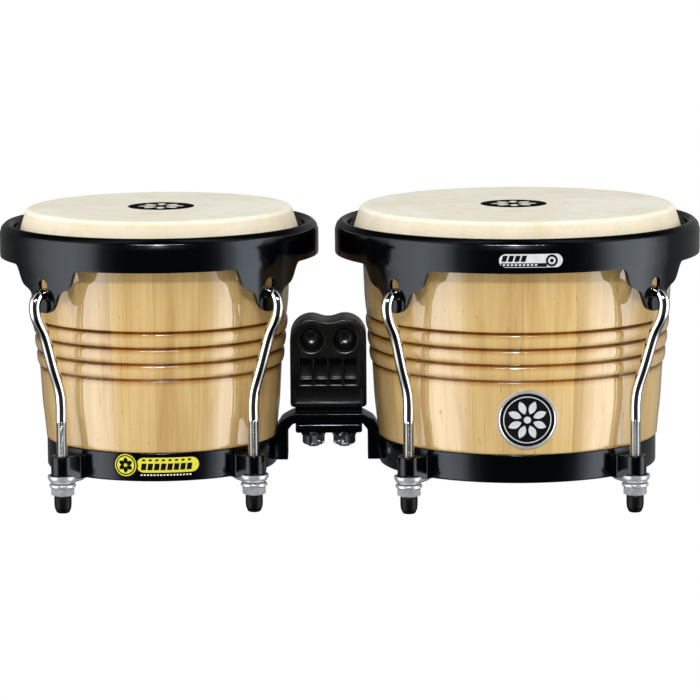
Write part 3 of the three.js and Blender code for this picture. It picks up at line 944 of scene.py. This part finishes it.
def build_plate(drum, place, azimuth):
    """A dished plate whose wall is tall outside and low where it runs under the ring."""
    angles = [math.atan2(py, px + 2.0 if px < 0 else px) for px, py in teardrop(0.0)]
    bore = [(BORE_R * math.cos(a), BORE_R * math.sin(a)) for a in angles]
    levels = [[(px, py, PLATE_BOTTOM + 1.5) for px, py in bore]]
    for grow, rise in DISH_FLOOR:
        levels.append([(px, py, min(PLATE_BOTTOM + rise, dish_top(px) - 0.4))
                       for px, py in teardrop(grow)])
    for grow, drop in DISH_LIP:
        levels.append([(px, py, dish_top(px) - drop) for px, py in teardrop(grow)])
    for grow, share in DISH_BELLY:
        levels.append([(px, py, PLATE_BOTTOM + (dish_top(px) - PLATE_BOTTOM) * share)
                       for px, py in teardrop(grow)])
    levels.append([(px, py, PLATE_BOTTOM) for px, py in bore])
    obj = ring_mesh(f"{drum.name}_dish_{place}", levels, closed=True, sharp=40)
    turn_to_lug(obj, drum, azimuth)
    return dress(obj, ZINC, drum.body, "chrome", f"{drum.name}_lug_plate_{place}")


def build_washer(drum, place, azimuth):
    profile = fillet(WASHER, [0.7, 0.7, 0.2, 0.2], 4)
    obj = lathe(f"{drum.name}_flat_washer_{place}", profile, 0, 48)
    turn_to_lug(obj, drum, azimuth)
    return dress(obj, ZINC, drum.body, "chrome", f"{drum.name}_washer_{place}")


def hexagon(limit):
    """Gives the radius of a hexagon at an angle, up to a limit."""
    def radius(angle):
        inside = (angle + math.pi / 6) % (math.pi / 3) - math.pi / 6
        return min(HEX_FLATS / 2 / math.cos(abs(abs(inside) - math.pi / 6)), limit)

    return radius


def hex_rings(low, high):
    """Rings up the outside of a hexagon whose corners are chamfered at both ends."""
    corner = hexagon(HEX_FLATS / math.sqrt(3))
    end = hexagon(HEX_FLATS * 0.47)
    levels = ((end, low), (corner, low + HEX_CHAMFER), (corner, high - HEX_CHAMFER), (end, high))
    return [circle(radius, z, HEX_SIDES) for radius, z in levels]


def build_nut(drum, place, azimuth):
    low, high = NUT_SPAN
    bore = ((NUT_BORE + 0.5, high), (NUT_BORE, high - 0.5), (NUT_BORE, low + 0.5),
            (NUT_BORE + 0.5, low))
    rings = hex_rings(low, high) + [circle(r, z, HEX_SIDES) for r, z in bore]
    obj = ring_mesh(f"{drum.name}_hex_nut_{place}", rings, closed=True, sharp=25)
    obj.data.transform(Matrix.Rotation(-math.radians(azimuth), 4, "Z"))
    turn_to_lug(obj, drum, azimuth)
    body = f"{drum.name}_nut_{place}_body"
    return dress(obj, ZINC, body, "chrome", f"{drum.name}_nut_{place}")


def build_tip(drum, place, azimuth):
    profile = fillet(TIP, [0, 1.8, 2.0, 0, 0.7, 0.3, 0, 0], 5, closed=False)
    obj = lathe(f"{drum.name}_foot_{place}", profile, 0, 48, closed=False)
    turn_to_lug(obj, drum, azimuth)
    return dress(obj, RUBBER, drum.body, "black_rubber", f"{drum.name}_rubber_tip_{place}")


def build_drum(drum):
    build_shell(drum)
    build_head(drum)
    build_head_print(drum)
    build_rim(drum)
    build_ring(drum)
    for place, azimuth in LUGS.items():
        build_rod(drum, place, azimuth)
        build_plate(drum, place, azimuth)
        build_washer(drum, place, azimuth)
        build_nut(drum, place, azimuth)
        build_tip(drum, place, azimuth)
    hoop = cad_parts[f"{drum.name}_flesh_hoop"]
    hoop.data.materials.clear()
    hoop.data.materials.append(HOOP)


# ---- Bridge ----
BRIDGE_X = -14.6
BLOCK_HALF = 24.9
BLOCK_DEPTH = 35.0
BLOCK_BOTTOM = 60.3
BLOCK_TOP = 118.0
LOBE_R = 13.9
SOCKET_X = 10.9
SOCKET_Z = 104.8
SOCKET = ((0, 1), (8.8, 1), (8.8, 0), (7.5, -1.3), (7.2, -4.5), (6.7, -6.6), (5.6, -8.3),
          (3.9, -9.5), (2.0, -10.1), (0, -10.2))
BAY_COUNT = 4
BAY_REACH = 18.4
BAY_RIB = 1.6
BAY_BOTTOM, BAY_SILL, BAY_TOP = 74.0, 78.2, 92.3
PANEL = ((-21.6, 21.6), (63.2, 72.9))
PANEL_DEPTH = 0.9
ARM_HALF = 13.0
ARM_TOP = 54.9
ARM_BOTTOM = 48.8
ARM_FOOT = 25.0
ARM_CLEAR = 65                   # a height above the whole arm
ARM_LEG = {"macho": -41.4, "hembra": 10.8}
# The bent end of an arm: how far out from its leg, how high, and the corner's radius.
ARM_BEND = ((-3.2, ARM_TOP, 6), (4.0, 50.8, 7), (12, 37, 0), (12, ARM_FOOT, 0),
            (0, ARM_FOOT, 0.8), (0, 44.5, 3.0), (-3.4, ARM_BOTTOM, 3.0))
# Each plate's half sizes, span up, corner radius and bevel.
PAD = ((22.0, 10.8), (55.1, 60.1), 2.0, (0.8, 3))
CLAMP = ((21.8, 13.0), (42.4, 48.5), 2.5, (1.4, 4))
BOLT_X = 10.1
BOLT_Y = 7.5
BOLT_FOOT = ((3.3, 33.3), (3.9, 33.8), (3.9, 34.7))
BOLT_SPAN = (34.7, 42.2)
BOLT_NECK = ((8.0, 41.0), (8.0, 42.35), (3.9, 42.2), (3.9, 48.3))


def to_bridge(obj):
    obj.data.transform(Matrix.Translation((BRIDGE_X * MM, 0, 0)))


def block_outline():
    """A block with two round shoulders and a shallow saddle between them."""
    lobe_x = BLOCK_HALF - LOBE_R
    lobe_z = BLOCK_TOP - LOBE_R
    saddle = BLOCK_TOP - 3.6
    right = arc(lobe_x, lobe_z, LOBE_R, 0, 108, 18)
    left = arc(-lobe_x, lobe_z, LOBE_R, 72, 180, 18)
    (ax, az), (bx, bz) = right[-1], left[0]
    dip = []
    for k in range(1, 8):
        t = k / 8
        height = (1 - t) ** 2 * az + 2 * t * (1 - t) * saddle + t * t * bz
        dip.append(((1 - t) * ax + t * bx, height))
    side = BLOCK_BOTTOM + 8
    bottom = fillet([(-BLOCK_HALF, side), (-BLOCK_HALF, BLOCK_BOTTOM), (BLOCK_HALF, BLOCK_BOTTOM),
                     (BLOCK_HALF, side)], [0, 3, 3, 0], 5, closed=False)
    return bottom + right + dip + left


def socket_cutter(x, side):
    """A round recess with a chamfered mouth and a bowl-shaped bottom."""
    cutter = lathe("socket", SOCKET, 0, 48, closed=False)
    turn = Matrix.Rotation(math.radians(-90 * side), 4, "X")
    shift = Matrix.Translation((x * MM, side * BLOCK_DEPTH / 2 * MM, SOCKET_Z * MM))
    cutter.data.transform(shift @ turn)
    return cutter


def bay_cutter(index, side):
    """One bay of the pocket, with a sill that slopes out."""
    width = (2 * BAY_REACH - (BAY_COUNT - 1) * BAY_RIB) / BAY_COUNT
    left = -BAY_REACH + index * (width + BAY_RIB)
    mouth = side * (BLOCK_DEPTH / 2 + 1)
    sill = side * (BLOCK_DEPTH / 2 - 4.2)
    back = side * (BLOCK_DEPTH / 2 - 12)
    outline = [(mouth, BAY_BOTTOM), (sill, BAY_SILL), (back, BAY_SILL), (back, BAY_TOP),
               (mouth, BAY_TOP)]
    verts = [(x, y, z) for x in (left, left + width) for y, z in outline]
    return to_mesh("bay", verts, plate_faces(len(outline)))


def build_block():
    half = BLOCK_DEPTH / 2
    block = prism("bridge_body", block_outline(), -half, half)
    cutters = []
    for side in (-1, 1):
        cutters += [socket_cutter(x, side) for x in (-SOCKET_X, SOCKET_X)]
        cutters += [bay_cutter(i, side) for i in range(BAY_COUNT)]
        depth = sorted((side * (half + 1), side * (half - PANEL_DEPTH)))
        cutters.append(slab("panel", PANEL[0], depth, PANEL[1]))
    cut(block, *cutters)
    bevel(block, 0.8, 3, 38)
    to_bridge(block)
    dress(block, MOULDED, ROOT, "black_plastic", "bridge_block")


def drum_cutter(drum):
    """What a drum takes up outside, for fitting an arm's leg to it."""
    skin = 0.4
    profile = [(0, 0), (drum.ring + skin, 0), (drum.ring + skin, RING_TOP - skin)]
    heights = (RING_TOP - skin + 0.01, 45, 50, 55, 60, ARM_CLEAR)
    profile += [(smooth_taper(drum, z) + skin, z) for z in heights]
    return lathe("fit", profile + [(0, ARM_CLEAR)], drum.x, 96, closed=False)


def build_arm(drum):
    """A strap bent from under the bridge, down to where it is welded to the bottom ring."""
    side = 1 if drum.x > 0 else -1
    leg = ARM_LEG[drum.name]
    middle = BRIDGE_X - side * 3.0
    bend = [(leg + side * out, z) for out, z, _ in ARM_BEND]
    radii = [0.4] + [r for _, _, r in ARM_BEND] + [0.4]
    outline = fillet([(middle, ARM_TOP)] + bend + [(middle, ARM_BOTTOM)], radii, 6)
    arm = prism(f"{drum.name}_bent_arm", outline, -ARM_HALF, ARM_HALF)
    cut(arm, drum_cutter(drum))
    bevel(arm, 2.0, 5, 40)
    seam = sorted((BRIDGE_X + side * 0.03, BRIDGE_X - side * 40))
    cut(arm, slab("seam", seam, (-20, 20), (20, 70)))
    dress(arm, BLACK, ROOT, "black_steel", f"{drum.name}_arm")


def bridge_plate(name, half_sizes, span, corner, edge):
    plate = prism(name, fillet(box_outline(*half_sizes), corner, 4), *span, "Z")
    bevel(plate, *edge)
    to_bridge(plate)
    return plate


def build_bridge_plates():
    dress(bridge_plate("rubber_pad", *PAD), RUBBER, ROOT, "black_rubber", "bridge_pad")
    dress(bridge_plate("clamp_plate", *CLAMP), BLACK, ROOT, "black_steel", "bridge_clamp_plate")


def build_bridge_bolts():
    rings = [circle(r, z, HEX_SIDES) for r, z in BOLT_FOOT] + hex_rings(*BOLT_SPAN)[:3]
    rings += [circle(r, z, HEX_SIDES) for r, z in BOLT_NECK]
    for row, y in (("front", -BOLT_Y), ("rear", BOLT_Y)):
        for column, x in (("left", -BOLT_X), ("right", BOLT_X)):
            bolt = ring_mesh(f"clamp_bolt_{row}_{column}", rings, sharp=25)
            turn = Matrix.Rotation(math.radians(1.5 * x), 4, "Z")
            bolt.data.transform(Matrix.Translation(((BRIDGE_X + x) * MM, y * MM, 0)) @ turn)
            dress(bolt, CHROME, ROOT, "chrome", f"bridge_bolt_{row}_{column}")


# ---- Badge and stickers ----
INK_RISE = 0.05


class Spot(namedtuple("Spot", "drum radius_at azimuth z body slot")):
    """A place on a drum's outside, and what the thin pieces wrapped there belong to."""

    def turned(self, degrees):
        return self._replace(azimuth=self.azimuth + degrees)

    def point(self, across, up, out):
        """A point on the drum: across is measured level, from the azimuth's line."""
        z = self.z + up
        r = self.radius_at(z)
        angle = math.radians(self.azimuth) + across / r
        return (r + out) * math.cos(angle), (r + out) * math.sin(angle), z

    def piece(self, name, verts, faces, material, sharp=40):
        obj = to_mesh(name, verts, faces, self.drum.x, sharp)
        return dress(obj, material, self.body, self.slot)

    def field(self, name, outline, low, high, material, centre=(0.0, 0.0), rings=6):
        """A wide thin piece, with rings of points from its centre so that it bends well."""
        count = len(outline)
        verts = []
        for level in (low, high):
            for k in range(rings + 1):
                verts += [self.point(centre[0] + px * k / rings, centre[1] + py * k / rings, level)
                          for px, py in outline]
        top = (rings + 1) * count
        under = rows_to_faces(rings + 1, count, False)
        faces = under + [tuple(top + i for i in reversed(face)) for face in under]
        edge = rings * count
        for i in range(count):
            a, b = edge + i, edge + (i + 1) % count
            faces.append((a, top + a, top + b, b))
        return self.piece(name, verts, faces, material)

    def ring(self, name, inner, outer, low, high, material, steps=72):
        """A thin round ring with softened edges."""
        ease = 0.25 * (high - low)
        section = ((inner, low), (inner, high - ease), (inner + ease, high),
                   (outer - ease, high), (outer, high - ease), (outer, low))
        verts = [self.point(px, py, out) for r, out in section for px, py, _ in circle(r, 0, steps)]
        faces = rows_to_faces(len(section), steps, True)
        return self.piece(name, verts, faces, material)

    def patch(self, name, outline, low, high, material):
        """A small flat-topped shape, closed all round."""
        verts = [self.point(px, py, level) for level in (low, high) for px, py in outline]
        return self.piece(name, verts, plate_faces(len(outline)), material, 30)

    def leaves(self, name, count, shape, low, high, material):
        """Leaves in a rosette, set half a step round from the level line."""
        for k in range(count):
            leaf = turned(leaf_outline(*shape), 360 / count * (k + 0.5))
            self.patch(f"{name}_{k}", leaf, low, high, material)

    def bars(self, name, up, row, size, lean, base, material):
        """A row of slanted bars, (start, count, pitch), the generic printing on a sticker."""
        start, count, pitch = row
        width, half = size[0], size[1] / 2
        for k in range(count):
            x = start + k * pitch
            low, high = (x - lean, x + width - lean), (x + width + lean, x + lean)
            shape = [(at, up - half) for at in low] + [(at, up + half) for at in high]
            self.patch(f"{name}_{k}", shape, base, base + INK_RISE, material)


def pill(width, height, steps=10):
    r = height / 2
    reach = width / 2 - r
    return dense(arc(reach, 0, r, -90, 90, steps) + arc(-reach, 0, r, 90, 270, steps))


def dense(outline, step=2.0):
    """The same outline with points no further apart than step, so that it bends well."""
    out = []
    for (ax, ay), (bx, by) in zip(outline, outline[1:] + outline[:1]):
        parts = max(1, math.ceil(math.hypot(bx - ax, by - ay) / step))
        out += [(ax + (bx - ax) * k / parts, ay + (by - ay) * k / parts) for k in range(parts)]
    return out


BADGE_R = 19.2
BADGE_FIELD_R = 17.3


def build_badge(drum):
    """A round metal badge on the shell, with a plain rosette."""
    spot = Spot(drum, lambda z: smooth_taper(drum, z), 271.5, 63.9, drum.body, "badge_metal")
    rim = spot.ring("badge_rim", BADGE_FIELD_R, BADGE_R, 0.15, 1.8, BRIGHT)
    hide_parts("hembra_badge")
    spot.field("badge_field", round_outline(BADGE_FIELD_R), 0.15, 1.05, ENAMEL)
    spot.ring("badge_inner_ring", 14.6, 15.2, 1.0, 1.25, SILVER)
    spot.leaves("badge_leaf", 8, (4.0, 12.8, 2.3), 1.0, 1.3, SILVER)
    spot.ring("badge_boss", 0.05, 2.2, 1.0, 1.4, SILVER)


def build_ring_sticker(drum):
    """A yellow roundel and pill with generic bars where printing would be."""
    spot = Spot(drum, lambda z: drum.ring, 269.8, 32.9, drum.body, "black_steel")
    spot.field("yellow_label", pill(40.5, 9.6), 0.03, 0.13, YELLOW, (7.2, 0.2))
    roundel = spot.turned(-15.4)
    roundel.field("roundel_shadow", round_outline(8.2, 40), 0.04, 0.17, INK)
    roundel.field("yellow_roundel", round_outline(7.2, 40), 0.05, 0.22, YELLOW)
    roundel.ring("roundel_ring", 5.7, 6.5, 0.22, 0.27, INK)
    roundel.leaves("roundel_leaf", 6, (0.8, 5.0, 1.45), 0.22, 0.27, INK)
    spot.bars("label_bar", -0.9, (-9.9, 8, 4.2), (3.2, 4.3), 0.35, 0.13, INK)
    spot.bars("label_dot", 3.4, (-9.2, 8, 4.2), (1.9, 1.3), 0.1, 0.13, INK)
    spot.bars("label_tick", -6.2, (-10.4, 16, 2.1), (1.2, 0.9), 0.15, 0.03, PALE)


def build_rim_sticker(drum):
    """A silver pill with generic bars, ticks and a spot where printing would be."""
    spot = Spot(drum, lambda z: drum.band, 271.8, 168.6, drum.tensioner, "black_steel")
    spot.field("silver_label", pill(40, 8.5), 0.05, 0.15, SILVER)
    spot.bars("rim_bar", 1.4, (-18.0, 4, 4.0), (3.0, 3.9), 0.6, 0.15, INK)
    spot.field("rim_strip", dense(box_outline(14.4, 1.2)), 0.15, 0.20, INK, (-4.4, -2.7))
    spot.bars("rim_tick", -2.6, (-17.6, 9, 2.5), (1.4, 1.1), 0.2, 0.20, SILVER)
    roundel = spot.turned(6.3)
    roundel.ring("rim_roundel", 2.4, 3.8, 0.15, 0.2, INK)
    roundel.patch("rim_spot", round_outline(1.2, 24), 0.15, 0.2, INK)


# ---- Stage, in metres ----
CAMERA_PLACE = (-0.0004, -2.607, 0.490)
CAMERA_LENS = 207.0
CAMERA_DOWN = 8.61                               # degrees
CAMERA_ROLL = -0.42
# Each light's place, target, size, power in watts, and the kind of ray that passes it by.
LIGHTS = {
    "left_box": ((-2.2, -0.4, 0.6), (0, 0, 0.08), (1.0, 1.1), 22, "visible_glossy"),
    "right_box": ((2.1, -0.6, 0.6), (0, 0, 0.08), (1.0, 1.1), 18, "visible_glossy"),
    "key": ((-0.05, -2.3, 1.15), (0, 0, 0.12), (0.26, 0.16), 28, None),
    "edge_strip": ((-0.05, -2.3, 1.35), (0, 0, 0.12), (1.5, 0.05), 42, "visible_diffuse"),
}
SKY_LIGHT = 0.64
STUDIO_LIGHT = 4.0
# The studio as reflections see it: brightness by direction, in degrees from the front (-Y).
STUDIO = ((-180, 0.03), (-142, 0.03), (-120, 0.03), (-108, 0.08), (-100, 0.24), (-88, 0.52),
          (-76, 0.78), (-62, 0.92), (-50, 0.72), (-40, 0.10), (-30, 0.02), (-22, 0.006),
          (34, 0.006), (46, 0.06), (54, 0.40), (64, 0.95), (84, 1.0), (96, 0.40), (108, 0.06),
          (180, 0.05))
STUDIO_CEILING = (0.30, 0.62, 1.0, 0.15)
STUDIO_GROUND = (-0.75, -0.40, 0.08, 1.0)


def build_camera():
    data = bpy.data.cameras.new("camera")
    data.sensor_width = 36
    data.lens = CAMERA_LENS
    data.clip_end = 50
    camera = bpy.data.objects.new("camera", data)
    bpy.context.scene.collection.objects.link(camera)
    pitch = Matrix.Rotation(math.radians(90 - CAMERA_DOWN), 4, "X")
    roll = Matrix.Rotation(math.radians(CAMERA_ROLL), 4, "Z")
    camera.matrix_world = Matrix.Translation(CAMERA_PLACE) @ pitch @ roll
    bpy.context.scene.camera = camera


def area_light(name, location, target, size, power, unseen):
    data = bpy.data.lights.new(name, "AREA")
    data.shape = "RECTANGLE"
    data.size, data.size_y = size
    data.energy = power
    light = bpy.data.objects.new(name, data)
    bpy.context.scene.collection.objects.link(light)
    light.location = location
    direction = Vector(target) - Vector(location)
    light.rotation_euler = direction.to_track_quat("-Z", "Y").to_euler()
    if unseen:
        setattr(light, unseen, False)


def build_world():
    """White behind for the camera, an even sky for soft light, and a studio for reflections."""
    world = bpy.data.worlds.new("studio")
    bpy.context.scene.world = world
    world.use_nodes = True
    world.cycles.sampling_method = "NONE"
    n = Nodes(world.node_tree)
    x, y, z = n.split(n.make("ShaderNodeTexCoord")["Generated"])
    angle = n.math("ARCTAN2", x, n.math("MULTIPLY", y, -1.0))
    turn = n.math("ADD", n.math("DIVIDE", angle, 2 * math.pi), 0.5)
    around = n.ramp(turn, *((degrees / 360 + 0.5, level) for degrees, level in STUDIO))
    walls = n.math("MULTIPLY", around, n.ease(z, *STUDIO_CEILING))
    walls = n.math("MULTIPLY", walls, n.ease(z, *STUDIO_GROUND))
    studio = n.background(n.math("MULTIPLY", walls, STUDIO_LIGHT))
    paths = n.make("ShaderNodeLightPath")
    light = n.choose(paths["Is Glossy Ray"], n.background(SKY_LIGHT), studio)
    light = n.choose(paths["Is Camera Ray"], light, n.background(1.0))
    n.make("ShaderNodeOutputWorld", (light,))


def build_floor():
    bpy.ops.mesh.primitive_plane_add(size=8, location=(0, 0, 0))
    floor = bpy.context.object
    floor.name = "floor"
    n = Surface("studio_floor")
    tone = n.noise(n.place, 0.6, 2, 0.5)
    n.set(Base_Color=n.ramp(tone, (0.3, 0.90), (0.7, 0.92)), Roughness=0.9, Specular_IOR_Level=0.1)
    floor.data.materials.append(n.material)
    floor.visible_glossy = False
    floor.visible_camera = False


def build_stage():
    build_camera()
    build_floor()
    for name, settings in LIGHTS.items():
        area_light(name, *settings)
    build_world()
    bpy.context.scene.view_settings.view_transform = "Standard"


def main():
    build_stage()
    macho, hembra = Drum("macho"), Drum("hembra")
    for drum in (macho, hembra):
        build_drum(drum)
        build_arm(drum)
    build_block()
    build_bridge_plates()
    build_bridge_bolts()
    build_badge(hembra)
    build_ring_sticker(macho)
    build_rim_sticker(hembra)


main()
